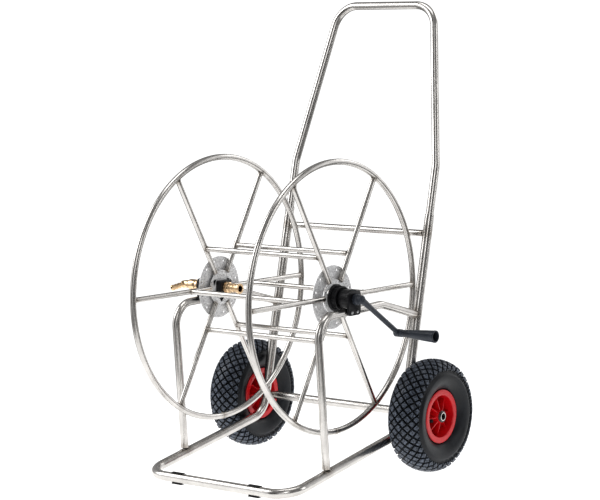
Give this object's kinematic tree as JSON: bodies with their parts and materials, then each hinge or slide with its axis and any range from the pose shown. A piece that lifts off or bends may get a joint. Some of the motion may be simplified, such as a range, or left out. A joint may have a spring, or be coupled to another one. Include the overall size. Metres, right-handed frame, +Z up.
{
  "type": "garden hose reel cart",
  "caption": "Two-wheeled tube-frame cart with a plug-in handle, a wire-spoked hose drum turned by a crank, and a swivelling water inlet.",
  "frame": {"origin": "on the floor, under the centre of the whole cart's outline seen from above", "axes": "+X towards the crank, +Y towards the handle and the wheels, +Z up"},
  "size_m": [0.6488, 0.747, 1.0772],
  "materials": {
    "steel": "satin stainless tube, lightly brushed along its length",
    "disc_steel": "matt speckled stainless sheet",
    "zinc": "bright plated fasteners and bushes",
    "black_plastic": "moulded black plastic, fine grain",
    "grey_plastic": "moulded dark grey plastic, satin",
    "brass": "bright turned brass",
    "tyre": "dark blue-grey rubber, matt",
    "rim": "bright red moulded plastic",
    "rubber": "black rubber"
  },
  "bodies": {
    "root": {"base_frame_tube": "steel", "rear_cross_tube": "steel", "wheel_axle": "steel", "left_side_tube": "steel", "left_foot_clip": "rubber", "left_bearing_housing": "black_plastic", "left_bearing_screw_front": "zinc", "left_bearing_screw_rear": "zinc", "left_wheel_spacer": "black_plastic", "left_axle_lock_ring": "zinc", "right_side_tube": "steel", "right_foot_clip": "rubber", "right_bearing_housing": "black_plastic", "right_bearing_screw_front": "zinc", "right_bearing_screw_rear": "zinc", "right_wheel_spacer": "black_plastic", "right_axle_lock_ring": "zinc"},
    "handle": {"handle_tube": "steel"},
    "reel": {"left_flange_ring": "steel", "left_spoke_1": "steel", "left_spoke_2": "steel", "left_spoke_3": "steel", "left_spoke_4": "steel", "left_spoke_5": "steel", "left_spoke_6": "steel", "left_flange_disc": "disc_steel", "left_hub_plate": "disc_steel", "left_hub": "black_plastic", "right_flange_ring": "steel", "right_spoke_1": "steel", "right_spoke_2": "steel", "right_spoke_3": "steel", "right_spoke_4": "steel", "right_spoke_5": "steel", "right_spoke_6": "steel", "right_flange_disc": "disc_steel", "right_hub_plate": "disc_steel", "right_hub": "black_plastic", "drum_bar_1": "steel", "drum_bar_2": "steel", "drum_bar_3": "steel", "drum_bar_4": "steel", "drum_bar_5": "steel", "drum_bar_6": "steel", "outlet_block": "black_plastic", "outlet_connector": "brass", "crank_arm": "grey_plastic", "grip_pin": "zinc", "inlet_union_nut": "black_plastic"},
    "grip": {"crank_grip": "grey_plastic"},
    "inlet": {"inlet_elbow": "brass", "inlet_seal": "rubber"},
    "left_wheel": {"left_tyre": "tyre", "left_rim": "rim", "left_wheel_bush": "zinc", "left_valve_stem": "rubber"},
    "right_wheel": {"right_tyre": "tyre", "right_rim": "rim", "right_wheel_bush": "zinc", "right_valve_stem": "rubber"}
  },
  "joints": [
    {"name": "reel_spin", "type": "hinge", "parent": "root", "child": "reel", "pos_m": [-0.01795, -0.06453, 0.419], "axis": [1, 0, 0], "continuous": true},
    {"name": "grip_spin", "type": "hinge", "parent": "reel", "child": "grip", "pos_m": [0.27205, 0.07301, 0.32968], "axis": [1, 0, 0], "continuous": true},
    {"name": "inlet_swivel", "type": "hinge", "parent": "root", "child": "inlet", "pos_m": [-0.26795, -0.06453, 0.419], "axis": [1, 0, 0], "continuous": true},
    {"name": "left_wheel_spin", "type": "hinge", "parent": "root", "child": "left_wheel", "pos_m": [-0.28195, 0.16799, 0.13], "axis": [1, 0, 0], "continuous": true},
    {"name": "right_wheel_spin", "type": "hinge", "parent": "root", "child": "right_wheel", "pos_m": [0.24605, 0.16799, 0.13], "axis": [1, 0, 0], "continuous": true},
    {"name": "handle_pull", "type": "slide", "parent": "root", "child": "handle", "axis": [0, 0.2181, 0.9759], "range_m": [0, 0.06]}
  ]
}
